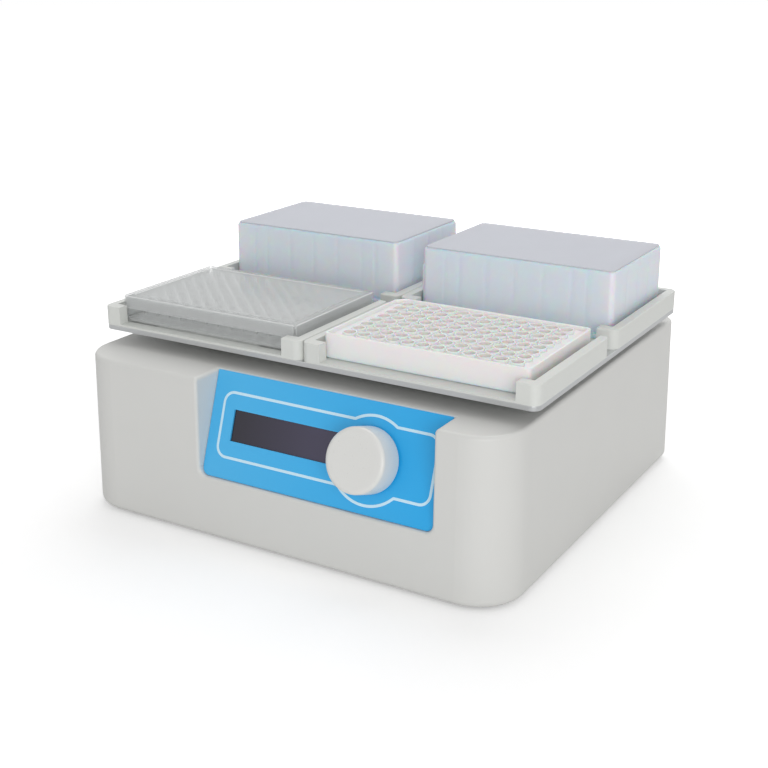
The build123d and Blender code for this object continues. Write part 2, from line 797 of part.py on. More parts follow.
def motor_case():
    """The motor's fixed case, hung under the deck, with room inside for its rotor."""
    bore = shaft_radius + motor_bearing_wall + seat_gap
    case = bar(motor_radius, motor_bottom, deck_bottom, 0, axis_y)
    case = chamfer(case.edges().group_by(Axis.Z)[0], motor_edge)
    boss = shaft_radius + motor_bearing_wall + motor_boss_wall
    case += bar(boss, deck_bottom, deck_top + motor_boss_rise, 0, axis_y)
    room_bottom = motor_bottom + motor_wall + bearing_width
    case -= bar(rotor_radius + rotor_gap, room_bottom, deck_bottom - motor_wall, 0, axis_y)
    case -= bar(bore, motor_bottom + motor_wall, deck_top + motor_boss_rise + 1, 0, axis_y)
    for x, y in motor_screw_places():
        case -= bar(screw_radius + seat_gap, deck_top - screw_length - 1, deck_bottom, x, y)
    return case


def motor_rotor():
    """The motor's rotor and its shaft, which carry the crank."""
    core_bottom = motor_bottom + motor_wall + bearing_width + rotor_end_gap
    core_top = deck_bottom - motor_wall - rotor_end_gap
    shaft_bottom = motor_bottom + motor_wall + shaft_end_gap
    shaft = bar(shaft_radius, shaft_bottom, crank_bottom + crank_bore_depth, 0, axis_y)
    return shaft + bar(rotor_radius, core_bottom, core_top, 0, axis_y)


def motor_bearings():
    """The two bearings at the ends of the motor's shaft."""
    race = ring(shaft_radius + motor_bearing_wall, shaft_radius + running_gap, bearing_width)
    heights = (motor_bottom + motor_wall, deck_top + motor_boss_rise - bearing_width)
    return [Pos(0, axis_y, z) * race for z in heights]


def drive_crank():
    """The crank: a hub on the motor's shaft and a pin set off its axis by the orbit radius."""
    hub = bar(crank_radius, crank_bottom, crank_top, 0, axis_y)
    hub -= bar(shaft_radius + seat_gap, crank_bottom, crank_bottom + crank_bore_depth, 0, axis_y)
    return hub + bar(crank_pin_radius, crank_top, pin_top, 0, pin_y)


def counterweight():
    """A half disc on the crank, opposite the pin, that balances the platform."""
    plan = Circle(counterweight_radius) - Pos(0, counterweight_radius) * Rectangle(
        2 * counterweight_radius, 2 * counterweight_radius
    )
    plan = fillet(plan.vertices(), counterweight_corner)
    plan = plan + Circle(crank_radius + counterweight_rim) - Circle(crank_radius + seat_gap)
    return Pos(0, axis_y, crank_bottom + counterweight_rise) * extrude(plan, counterweight_thickness)


def platform_bearings():
    """The five bearings in the hubs under the platform."""
    large = ring(large_bearing_radius, crank_pin_radius + running_gap, bearing_width)
    small = ring(small_bearing_radius, idler_pin_radius + running_gap, bearing_width)
    bottom = platform_bottom - bearing_width
    rings = [Pos(x, y + orbit_radius, bottom) * small for x, y in idler_places]
    return [Pos(0, pin_y, bottom) * large] + rings


def platform_hubs():
    """The five bearing hubs under the platform, one for the crank and four for the idlers."""
    large = ring(large_bearing_radius + hub_wall, large_bearing_radius + seat_gap, hub_thickness)
    small = ring(small_bearing_radius + hub_wall, small_bearing_radius + seat_gap, hub_thickness)
    rings = [Pos(x, y + orbit_radius, hub_bottom) * small for x, y in idler_places]
    return [Pos(0, pin_y, hub_bottom) * large] + rings


def idler_towers():
    """Four flanged towers on the deck that hold the idlers' bearings."""
    bore = small_bearing_radius + seat_gap
    radius = small_bearing_radius + tower_wall
    tower = ring(radius, bore, tower_height) + ring(radius + tower_flange, bore, tower_flange_thickness)
    return [Pos(x, y, deck_top) * tower for x, y in idler_places]


def idler_bearings():
    """Two bearings in each idler tower."""
    race = ring(small_bearing_radius, idler_pin_radius + running_gap, bearing_width)
    heights = (deck_top, tower_top - bearing_width)
    return [Pos(x, y, z) * race for x, y in idler_places for z in heights]


def idler_crank(x, y):
    """An idler: a journal in its tower, a round web, and a pin as far off axis as the crank's."""
    web_bottom = tower_top + idler_web_gap
    web_top = web_bottom + idler_web_thickness
    body = bar(idler_pin_radius, deck_top, web_bottom, x, y)
    body += bar(idler_web_radius, web_bottom, web_top, x, y)
    return body + bar(idler_pin_radius, web_top, pin_top, x, y + orbit_radius)


def control_board():
    """The main circuit board on its posts."""
    z = base_plate_top + board_standoff
    return block(board_width, board_depth, board_thickness, board_x, electrics_centre_y, z)


def board_parts():
    """The board's taller components: a capacitor, a transformer, a relay and a connector."""
    top = base_plate_top + board_standoff + board_thickness
    y = electrics_centre_y
    return [
        bar(capacitor_radius, top, top + capacitor_height, board_x - board_width / 3, y + board_depth / 5),
        block(transformer_width, transformer_depth, transformer_height, board_x, y + board_depth / 6, top),
        block(relay_width, relay_depth, relay_height, board_x + board_width / 3, y, top),
        block(connector_width, connector_depth, connector_height, board_x - board_width / 6, y - board_depth / 3, top),
    ]


def board_posts():
    """Four short posts under the main circuit board."""
    post = extrude(Circle(board_post_radius), board_standoff)
    half_width = board_width / 2 - board_post_inset
    half_depth = board_depth / 2 - board_post_inset
    return [
        Pos(board_x + sx * half_width, electrics_centre_y + sy * half_depth, base_plate_top) * post
        for sx, sy in corner_signs
    ]


def power_supply():
    """The enclosed power supply on the base plate, in front of the inlet."""
    body = block(supply_width, supply_depth, supply_height, supply_x, electrics_centre_y, base_plate_top)
    return fillet(body.edges().group_by(Axis.Z)[-1], supply_edge_radius)


def power_inlet():
    """The mains inlet in the rear wall: a flanged case, an open socket and three blades."""
    flange = RectangleRounded(inlet_flange_width, inlet_flange_height, inlet_flange_corner)
    body = extrude(flange, inlet_flange_thickness)
    body += Pos(0, 0, -inlet_depth) * extrude(Rectangle(inlet_width, inlet_height), inlet_depth)
    floor = inlet_flange_thickness - inlet_socket_depth
    socket = Rectangle(inlet_width - 2 * inlet_wall, inlet_height - 2 * inlet_wall)
    body -= Pos(0, 0, floor) * extrude(socket, inlet_socket_depth)
    blade = extrude(Rectangle(blade_width, blade_height), inlet_socket_depth - blade_recess)
    for x, y in ((-blade_spacing, -blade_rise), (0, blade_rise), (blade_spacing, -blade_rise)):
        body += Pos(x, y, floor) * blade
    return on_rear(body, inlet_x, inlet_z)


def rocker_frame():
    """The power switch's frame, open in the middle for its rocker and bored for its pivot."""
    width = rocker_width + 2 * rocker_frame_wall
    height = rocker_height + 2 * rocker_frame_wall
    flange = RectangleRounded(width + 2 * rocker_flange, height + 2 * rocker_flange, rocker_flange)
    body = extrude(flange, rocker_flange_thickness)
    body += Pos(0, 0, -rocker_depth) * extrude(Rectangle(width, height), rocker_depth)
    room = Rectangle(rocker_width, rocker_height)
    body -= Pos(0, 0, rocker_frame_wall - rocker_depth) * extrude(room, 2 * rocker_depth)
    pivot = Cylinder(rocker_pivot_radius + running_gap, width, rotation=(0, 90, 0))
    body -= Pos(0, 0, -rocker_pivot_depth) * pivot
    return on_rear(body, rocker_x, inlet_z)


def rocker_button():
    """The rocker, tipped to its off position about the pin across its middle."""
    outline = Polyline(
        (-rocker_half, rocker_pivot_depth - rocker_crown),
        (-rocker_hub_radius, 0),
        (rocker_hub_radius, 0),
        (rocker_half, rocker_pivot_depth - rocker_crown),
        (rocker_half - rocker_gap, rocker_top),
        (0, rocker_top - rocker_dip),
        (rocker_gap - rocker_half, rocker_top),
        close=True,
    )
    width = rocker_width - 2 * rocker_gap
    button = extrude(Plane.YZ * make_face(outline), width / 2, both=True)
    button += Cylinder(rocker_hub_radius, width, rotation=(0, 90, 0))
    button += Cylinder(rocker_pivot_radius, rocker_width + rocker_frame_wall, rotation=(0, 90, 0))
    return on_rear(Pos(0, 0, -rocker_pivot_depth) * Rot(rocker_tilt, 0, 0) * button, rocker_x, inlet_z)


nodes = {
    "housing_shell": housing_shell(),
    "base_plate": base_plate(),
    "rubber_feet": rubber_feet(),
    "base_screws": base_screws(),
    "control_fascia": control_fascia(),
    "display_lens": display_lens(),
    "display_module": display_module(),
    "encoder_body": encoder_body(),
    "encoder_nut": encoder_nut(),
    "encoder_disc": encoder_disc_rotor(),
    "encoder_shaft": encoder_shaft(),
    "control_knob": control_knob(),
    "platform_plate": platform_plate(),
    "holder_front_left": placed_holder(-1, False),
    "holder_front_right": placed_holder(1, False),
    "holder_rear_left": placed_holder(-1, True),
    "holder_rear_right": placed_holder(1, True),
    "holder_screws": holder_screws(),
    "clear_plate": clear_plate(),
    "clear_lid": clear_lid(),
    "white_plate": white_plate(),
    "deep_plate_left": deep_plate(-1),
    "deep_plate_right": deep_plate(1),
    "deep_film_left": deep_film(-1),
    "deep_film_right": deep_film(1),
    "deck_plate": deck_plate(),
    "deck_pillars": deck_pillars(),
    "deck_screws": deck_screws(),
    "motor_case": motor_case(),
    "motor_rotor": motor_rotor(),
    "motor_bearings": motor_bearings(),
    "drive_crank": drive_crank(),
    "counterweight": counterweight(),
    "platform_bearings": platform_bearings(),
    "platform_hubs": platform_hubs(),
    "idler_towers": idler_towers(),
    "idler_bearings": idler_bearings(),
    "idler_front_left": idler_crank(*idler_places[0]),
    "idler_front_right": idler_crank(*idler_places[1]),
    "idler_rear_left": idler_crank(*idler_places[2]),
    "idler_rear_right": idler_crank(*idler_places[3]),
    "control_board": control_board(),
    "board_parts": board_parts(),
    "board_posts": board_posts(),
    "power_supply": power_supply(),
    "power_inlet": power_inlet(),
    "rocker_frame": rocker_frame(),
    "rocker_button": rocker_button(),
}

os.makedirs("parts", exist_ok=True)
for name, shape in nodes.items():
    export_step(Compound(shape) if isinstance(shape, list) else shape, f"parts/{name}.step")
print(len(nodes), "nodes written")
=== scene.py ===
"""Dresses the orbital microplate shaker: plates with round wells, printed panel line, finishes, stage."""
import bmesh
import bpy
import numpy as np
from bpy.props import FloatProperty, FloatVectorProperty, IntProperty, PointerProperty
from math import cos, pi, radians, sin
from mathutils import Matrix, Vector


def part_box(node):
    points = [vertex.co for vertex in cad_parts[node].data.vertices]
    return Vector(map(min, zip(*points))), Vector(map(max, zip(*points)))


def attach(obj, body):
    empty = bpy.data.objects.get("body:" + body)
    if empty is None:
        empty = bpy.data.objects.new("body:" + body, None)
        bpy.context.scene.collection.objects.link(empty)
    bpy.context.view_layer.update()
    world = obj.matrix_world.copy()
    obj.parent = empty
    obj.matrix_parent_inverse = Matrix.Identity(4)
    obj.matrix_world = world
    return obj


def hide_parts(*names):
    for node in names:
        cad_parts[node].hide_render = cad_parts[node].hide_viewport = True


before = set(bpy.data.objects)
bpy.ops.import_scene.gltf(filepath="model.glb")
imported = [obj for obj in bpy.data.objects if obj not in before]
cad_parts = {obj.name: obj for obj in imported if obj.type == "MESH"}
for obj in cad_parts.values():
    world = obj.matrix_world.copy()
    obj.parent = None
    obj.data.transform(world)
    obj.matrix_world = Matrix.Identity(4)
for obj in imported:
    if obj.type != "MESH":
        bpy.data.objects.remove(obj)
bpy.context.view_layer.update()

bl_info = {
    "name": "Microplate Shaker",
    "version": (1, 0, 0),
    "blender": (4, 5, 0),
    "location": "View3D > Sidebar > Shaker",
    "description": "Detailed plates, panel print, finishes and a plain studio for a microplate shaker",
    "category": "Object",
}

MM = 0.001
PANEL_TILT = radians(19)
PANEL_THICKNESS = 1.0 * MM
KNOB_SEGMENTS = 96
KNOB_BORE = 13.2
KNOB_DROP = 30.5 * MM
KNOB_GAP = 1.4 * MM
LINE_DROP = 30.8 * MM
PLATE_BODY = (121.0 * MM, 80.8 * MM)
WELL_COLUMNS = 12
WELL_ROWS = 8
DEEP_BODY = (122 * MM, 80 * MM)
DEEP_COLUMNS = 6
DEEP_ROWS = 4
DEEP_SPACING = 18 * MM
DEEP_CELL_STEPS = 16
FLUTE_WIDTH = 1.1 * MM
EAR_WIDTH = 3.6
EAR_LENGTH = 69
FLOOR_RADIUS = 6
FLOOR_SEGMENTS = 64


# Sizes and colours that a user may change

class PlateSettings(bpy.types.PropertyGroup):
    """Sizes of the 96-well plates and of the lid."""

    well_pitch: FloatProperty(
        name="Well Pitch", description="Distance between two wells", default=9 * MM, unit="LENGTH"
    )
    well_radius: FloatProperty(
        name="Well Radius", description="Radius of a well at its mouth", default=3.42 * MM, unit="LENGTH"
    )
    rim_width: FloatProperty(
        name="Rim Width", description="Width of the raised rim round a well", default=0.62 * MM, unit="LENGTH"
    )
    rim_height: FloatProperty(
        name="Rim Height", description="Height of a rim over the deck", default=1.8 * MM, unit="LENGTH"
    )
    deck_drop: FloatProperty(
        name="Deck Drop", description="Depth of the deck below the border", default=2.1 * MM, unit="LENGTH"
    )
    border_width: FloatProperty(
        name="Border Width", description="Width of the raised border", default=1.3 * MM, unit="LENGTH"
    )
    well_depth: FloatProperty(
        name="Well Depth", description="Depth of a well below the deck", default=9.0 * MM, unit="LENGTH"
    )
    cell_steps: IntProperty(name="Cell Steps", description="Segments along one side of a well's cell", default=4)
    lid_step: FloatProperty(
        name="Lid Step", description="Distance from the lid's edge to its stacking ridge",
        default=4.2 * MM, unit="LENGTH",
    )


class PanelSettings(bpy.types.PropertyGroup):
    """Sizes of the line printed on the control panel."""

    line_width: FloatProperty(
        name="Line Width", description="Width of the printed line", default=1.5 * MM, unit="LENGTH"
    )
    bulge_radius: FloatProperty(
        name="Bulge Radius", description="Radius of the line round the knob", default=23.5 * MM, unit="LENGTH"
    )
    corner_radius: FloatProperty(
        name="Corner Radius", description="Radius of the line's corners", default=6 * MM, unit="LENGTH"
    )
    ink_height: FloatProperty(
        name="Ink Height", description="Height of the print over the panel", default=0.06 * MM, unit="LENGTH"
    )


def hex_colour(code):
    """A colour written as sRGB hex, turned to linear: (v / 12.92) low down, ((v + 0.055) / 1.055) ^ 2.4 above."""
    values = np.array([int(code[i:i + 2], 16) for i in (1, 3, 5)]) / 255
    linear = np.where(values <= 0.04045, values / 12.92, ((values + 0.055) / 1.055) ** 2.4)
    return tuple(float(v) for v in linear)


def colour_property(name, description, code):
    """A colour property with its default given as hex."""
    return FloatVectorProperty(
        name=name, description=description, default=hex_colour(code), subtype="COLOR", min=0, max=1
    )


class FinishSettings(bpy.types.PropertyGroup):
    """Colours of the main finishes."""

    housing: colour_property("Housing", "Moulded ABS of the housing", "#DADAD7")
    panel: colour_property("Panel", "Ink of the control panel", "#17AEEE")
    line: colour_property("Panel Line", "Ink of the line on the control panel", "#CFEFFF")
    knob: colour_property("Knob", "Moulded ABS of the knob", "#E3E3E0")
    holder: colour_property("Holders", "Moulded plate holders", "#DCDEDA")
    white_plate: colour_property("White Plate", "White polystyrene plate", "#F4F3F3")
    haze: colour_property("Deep Plates", "Hazy polypropylene of the deep-well plates", "#E6EAF2")


class StudioSettings(bpy.types.PropertyGroup):
    """The camera's place and the strength of the lamps."""

    azimuth: FloatProperty(
        name="Azimuth", description="Camera's angle to the right of the front",
        default=radians(30.7), subtype="ANGLE",
    )
    elevation: FloatProperty(
        name="Elevation", description="Camera's angle above the bench", default=radians(19.44), subtype="ANGLE"
    )
    distance: FloatProperty(
        name="Distance", description="Camera's distance from its target", default=780.1 * MM, unit="LENGTH"
    )
    lens: FloatProperty(name="Lens", description="Focal length on a 36 mm sensor", default=59.37, unit="CAMERA")
    key_power: FloatProperty(name="Key Power", description="Power of the front lamp", default=17.0, unit="POWER")
    top_power: FloatProperty(name="Top Power", description="Power of the top lamp", default=13.0, unit="POWER")
    sky: FloatProperty(name="Sky", description="Strength of the light from all round", default=0.5)


# Meshes

def rounded_loop(size, radius, steps, arc):
    """Points round a rectangle with round corners, anticlockwise from the middle of the lower right corner.

    Each side begins and ends halfway round a corner. Along it an angle runs from -45 degrees to 0 over
    the first few steps, stays 0, and runs on to 45 degrees over the last few. The point stands at the
    corner's centre plus the radius at that angle, and the centre slides only while the angle is 0.
    """
    width, depth = size
    sides = []
    for turn, (reach, run, count) in enumerate(((width, depth, steps[1]), (depth, width, steps[0])) * 2):
        knots = (0, arc, count - arc, count)
        angle = np.interp(np.arange(count), knots, (-1, 0, 0, 1)) * pi / 4
        slide = np.interp(np.arange(count), knots, (-1, -1, 1, 1))
        outward = reach / 2 - radius + radius * np.cos(angle)
        sideways = slide * (run / 2 - radius) + radius * np.sin(angle)
        c, s = cos(turn * pi / 2), sin(turn * pi / 2)
        sides.append(np.stack((outward * c - sideways * s, outward * s + sideways * c), axis=1))
    return np.concatenate(sides)


def cut_corner(loop, half_width, half_depth, cut):
    """Slides the points beyond a straight cut across the left rear corner back onto the cut.

    A point's overshoot is how far its depth less its width passes the cut's line, and the point moves
    half of that to the right and half of it forwards.
    """
    over = np.maximum(loop[:, 1] - loop[:, 0] - (half_width + half_depth - cut), 0) / 2
    return loop + np.stack((over, -over), axis=1)


def raised(loop, height):
    """A flat loop put at a height."""
    return np.column_stack((loop, np.full(len(loop), height)))


def strips(loops):
    """Quads between closed loops of equal length, each loop joined to the next and its end to its start."""
    count = len(loops[0])
    rows = np.arange(len(loops) - 1)[:, None] * count
    here = np.arange(count)[None, :]
    after = (here + 1) % count
    quads = np.stack((rows + here, rows + after, rows + count + after, rows + count + here), axis=-1)
    return np.concatenate(loops), quads.reshape(-1, 4)


def circle_loop(radius, count):
    """Points round a circle, from -45 degrees anticlockwise, one for each step of a square round it."""
    angle = np.arange(count) * 2 * pi / count - pi / 4
    return np.stack((np.cos(angle), np.sin(angle)), axis=1) * radius


def well_cells(pitch, columns, rows, side_steps, rings):
    """All of a plate's wells: square cells, each drawn in to loops that go up over its rim and down.

    A cell's square has a few equal steps on each side, and its step k is joined to point k of each
    loop inside it. The last loop is closed by one flat face, and the cell is repeated on the grid.
    """
    count = 4 * side_steps
    square = rounded_loop((pitch, pitch), 0, (side_steps, side_steps), 0)
    vertices, quads = strips([raised(square, rings[0][0, 2])] + list(rings))
    x = (np.arange(columns) - (columns - 1) / 2) * pitch
    y = (np.arange(rows) - (rows - 1) / 2) * pitch
    centres = np.stack(np.meshgrid(x, y), axis=-1).reshape(-1, 2)
    shifts = np.column_stack((centres, np.zeros(len(centres))))
    starts = np.arange(len(centres)) * len(vertices)
    all_vertices = (vertices[None] + shifts[:, None]).reshape(-1, 3)
    all_quads = (quads[None] + starts[:, None, None]).reshape(-1, 4)
    caps = (np.arange(len(vertices) - count, len(vertices))[None] + starts[:, None])
    return all_vertices, all_quads.tolist() + caps.tolist()


def make_piece(name, parts, place, body, materials, stands_for=(), smooth=30, second=None):
    """Joins vertex and face lists into one welded mesh at its place, and rides it on its body.

    The faces that the function second picks, from the middles and heights of all faces, wear the
    second material.
    """
    bm = bmesh.new()
    for vertices, faces in parts:
        mesh = bpy.data.meshes.new(name)
        moved = np.asarray(vertices, dtype=float) + np.asarray(place, dtype=float)
        mesh.from_pydata(moved.tolist(), [], [list(face) for face in faces])
        bm.from_mesh(mesh)
        bpy.data.meshes.remove(mesh)
    bmesh.ops.remove_doubles(bm, verts=bm.verts, dist=0.01 * MM)
    mesh = bpy.data.meshes.new(name)
    bm.to_mesh(mesh)
    bm.free()
    mesh.shade_smooth()
    mesh.set_sharp_from_angle(angle=radians(smooth))
    for material in materials:
        mesh.materials.append(material)
    if second:
        middles = np.empty(3 * len(mesh.polygons))
        mesh.polygons.foreach_get("center", middles)
        mesh.polygons.foreach_set("material_index", second(middles.reshape(-1, 3)).astype(np.int32))
    piece = bpy.data.objects.new(name, mesh)
    bpy.context.scene.collection.objects.link(piece)
    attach(piece, body)
    if stands_for:
        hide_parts(*stands_for)
    return piece


def middle_of(node):
    """The middle of a node's underside, and its size."""
    low, high = (Vector(corner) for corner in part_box(node))
    return Vector(((low.x + high.x) / 2, (low.y + high.y) / 2, low.z)), high - low


# Materials

def add_node(tree, kind, settings=None, values=None, links=None):
    """Adds a node with its settings, its sockets' values and the links into it."""
    node = tree.nodes.new(kind)
    for key, value in (settings or {}).items():
        setattr(node, key, value)
    for key, value in (values or {}).items():
        node.inputs[key].default_value = value
    for key, source in (links or {}).items():
        tree.links.new(source, node.inputs[key])
    return node


def finish(
    name, colour, roughness, grain, depth, mottle=0.03, stretch=(1, 1, 1), metallic=0.0, spread=0.08, **fixed
):
    """A moulded, painted or ground surface: a mottled colour, fine grain in the gloss and the relief.

    Grain and relief are in millimetres, and stretch draws the grain out along an axis. Values that are
    the same all over stand on the shader's own sockets.
    """
    material = bpy.data.materials.new(name)
    material.use_nodes = True
    tree = material.node_tree
    tree.nodes.clear()
    place = add_node(tree, "ShaderNodeTexCoord")
    drawn = add_node(
        tree, "ShaderNodeMapping", values={"Scale": stretch}, links={"Vector": place.outputs["Object"]}
    )
    fine = add_node(
        tree, "ShaderNodeTexNoise", values={"Scale": 1 / (grain * MM), "Detail": 3.0},
        links={"Vector": drawn.outputs["Vector"]},
    )
    broad = add_node(
        tree, "ShaderNodeTexNoise", values={"Scale": 1 / (28 * MM), "Detail": 2.0},
        links={"Vector": drawn.outputs["Vector"]},
    )
    base = tuple(colour)[:3]
    dark = tuple(c * (1 - mottle) for c in base) + (1,)
    light = tuple(min(1.0, c * (1 + mottle)) for c in base) + (1,)
    tint = add_node(
        tree, "ShaderNodeMix", {"data_type": "RGBA"}, {6: dark, 7: light}, {0: broad.outputs["Fac"]}
    )
    gloss = add_node(
        tree, "ShaderNodeMapRange",
        values={"To Min": max(0.02, roughness - spread), "To Max": min(1, roughness + spread)},
        links={"Value": fine.outputs["Fac"]},
    )
    relief = add_node(
        tree, "ShaderNodeBump", values={"Strength": 1.0, "Distance": depth * MM},
        links={"Height": fine.outputs["Fac"]},
    )
    shader = add_node(
        tree, "ShaderNodeBsdfPrincipled", values={"Metallic": metallic},
        links={"Base Color": tint.outputs[2], "Roughness": gloss.outputs[0], "Normal": relief.outputs["Normal"]},
    )
    for key, value in fixed.items():
        shader.inputs[key.replace("_", " ")].default_value = value
    add_node(tree, "ShaderNodeOutputMaterial", links={"Surface": shader.outputs["BSDF"]})
    return material


def first(material, kind):
    """The first node of a kind in a material."""
    return next(node for node in material.node_tree.nodes if node.bl_idname == kind)


def panel_ink(colour):
    """Reverse-printed polycarbonate: an even cyan that pales slightly towards the left."""
    material = finish("printed_polycarbonate", colour, 0.38, 0.5, 0.002, 0.02, IOR=1.58)
    tree = material.node_tree
    place = first(material, "ShaderNodeTexCoord")
    axes = add_node(tree, "ShaderNodeSeparateXYZ", links={"Vector": place.outputs["Object"]})
    low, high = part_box("control_fascia")
    along = add_node(
        tree, "ShaderNodeMapRange", values={"From Min": low[0], "From Max": high[0]},
        links={"Value": axes.outputs["X"]},
    )
    pale = tuple(0.72 * c + 0.28 * p for c, p in zip(tuple(colour)[:3], hex_colour("#7FD3FB"))) + (1,)
    deep = tuple(c * f for c, f in zip(tuple(colour)[:3], (0.75, 0.97, 1.0))) + (1,)
    shade = add_node(tree, "ShaderNodeMix", {"data_type": "RGBA"}, {6: pale, 7: deep}, {0: along.outputs[0]})
    shader = first(material, "ShaderNodeBsdfPrincipled")
    tree.links.new(shade.outputs[2], shader.inputs["Base Color"])
    return material


def window_tint():
    """Smoked acrylic over a dark display: violet-grey, nearly black towards its left end."""
    material = finish("smoked_acrylic", hex_colour("#3B3750"), 0.12, 0.6, 0.001, 0.05, spread=0.03, IOR=1.49)
    tree = material.node_tree
    place = first(material, "ShaderNodeTexCoord")
    axes = add_node(tree, "ShaderNodeSeparateXYZ", links={"Vector": place.outputs["Object"]})
    low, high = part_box("display_lens")
    along = add_node(
        tree, "ShaderNodeMapRange", values={"From Min": low[0], "From Max": high[0]},
        links={"Value": axes.outputs["X"]},
    )
    shade = add_node(
        tree, "ShaderNodeMix", {"data_type": "RGBA"},
        {6: hex_colour("#1B1826") + (1,), 7: hex_colour("#454059") + (1,)}, {0: along.outputs[0]},
    )
    tree.links.new(shade.outputs[2], first(material, "ShaderNodeBsdfPrincipled").inputs["Base Color"])
    return material


def node_finishes(colours):
    """Every CAD node's material, by the names of the nodes that wear it."""
    # ABS, moulded and spark-grained: an even light grey with a soft sheen and a faint grain
    housing = finish("moulded_abs_grey", colours.housing, 0.42, 0.9, 0.012, 0.012)
    # ABS of the holders: a cooler light grey, finely grained
    holder = finish("moulded_abs_holder", colours.holder, 0.4, 0.7, 0.01, 0.015)
    # Aluminium sheet, rolled and clear anodised: fine lines along the sheet and a satin glint
    aluminium = finish(
        "anodised_aluminium", hex_colour("#C9CBCC"), 0.32, 0.5, 0.004, 0.04, (0.06, 1, 1), metallic=1.0
    )
    # Pierceable sealing film: thinner than the plate, so the wells show faintly through it
    film = finish(
        "heat_sealing_film", hex_colour("#DCDFE8"), 0.45, 1.6, 0.02, 0.02, IOR=1.49, Alpha=0.8
    )
    # Glass-filled polyamide: near black and satin
    black = finish("black_polyamide", hex_colour("#26282A"), 0.45, 0.8, 0.01, 0.05)
    rubber = finish("moulded_rubber", hex_colour("#2B2B2C"), 0.8, 1.0, 0.02, 0.08)
    # Zinc-plated steel: bluish white with a fine, slightly uneven shine
    zinc = finish("zinc_plated_steel", hex_colour("#B9BEC2"), 0.3, 0.6, 0.003, 0.06, metallic=1.0)
    # Cold-rolled steel deck: duller, with lines of the roll along it
    deck = finish(
        "cold_rolled_steel", hex_colour("#A4A8AB"), 0.42, 0.7, 0.004, 0.08, (0.08, 1, 1), metallic=1.0
    )
    # Bright ground steel of shafts and races
    ground = finish("ground_steel", hex_colour("#C4C6C8"), 0.22, 0.4, 0.002, 0.04, (1, 1, 0.1), metallic=1.0)
    # Grey iron, sawn and left bare
    iron = finish("grey_cast_iron", hex_colour("#6A6B6C"), 0.55, 0.9, 0.03, 0.1, metallic=1.0)
    # Brass nut, machined
    brass = finish("machined_brass", hex_colour("#C9A86A"), 0.28, 0.5, 0.003, 0.05, metallic=1.0)
    paint = finish("motor_enamel", hex_colour("#3A3F45"), 0.38, 1.0, 0.015, 0.05)
    # Solder mask over glass laminate: dark green with the weave faintly raised
    board = finish("solder_mask_green", hex_colour("#1F6B45"), 0.36, 1.2, 0.01, 0.12)
    parts = finish("moulded_components", hex_colour("#33373C"), 0.5, 1.0, 0.01, 0.15)
    perforated = finish("galvanised_sheet", hex_colour("#B4B8B8"), 0.4, 4.0, 0.004, 0.14, metallic=1.0)
    glass = finish("display_glass", hex_colour("#15141D"), 0.15, 0.6, 0.001, 0.05)
    holders = ("holder_front_left", "holder_front_right", "holder_rear_left", "holder_rear_right")
    idlers = ("idler_front_left", "idler_front_right", "idler_rear_left", "idler_rear_right")
    return [
        (housing, ("housing_shell", "base_plate")),
        (holder, holders),
        (aluminium, ("platform_plate",)),
        (film, ("deep_film_left", "deep_film_right")),
        (panel_ink(colours.panel), ("control_fascia",)),
        (window_tint(), ("display_lens",)),
        (glass, ("display_module",)),
        (black, ("power_inlet", "rocker_frame", "rocker_button")),
        (black, ("encoder_body", "encoder_disc", "board_posts")),
        (rubber, ("rubber_feet",)),
        (zinc, ("base_screws", "holder_screws", "deck_screws", "deck_pillars")),
        (deck, ("deck_plate",)),
        (ground, idlers + ("encoder_shaft", "drive_crank")),
        (ground, ("motor_bearings", "idler_bearings", "platform_bearings")),
        (iron, ("counterweight", "motor_rotor", "idler_towers", "platform_hubs")),
        (brass, ("encoder_nut",)),
        (paint, ("motor_case",)),
        (board, ("control_board",)),
        (parts, ("board_parts",)),
        (perforated, ("power_supply",)),
    ]


# Operators

class SHAKER_OT_finishes(bpy.types.Operator):
    """Give every CAD node its material"""

    bl_idname = "shaker.finishes"
    bl_label = "Finish CAD Nodes"

    def execute(self, context):
        for material, names in node_finishes(context.scene.shaker_finishes):
            for name in names:
                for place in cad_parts[name].material_slots:
                    place.material = material
        return {"FINISHED"}


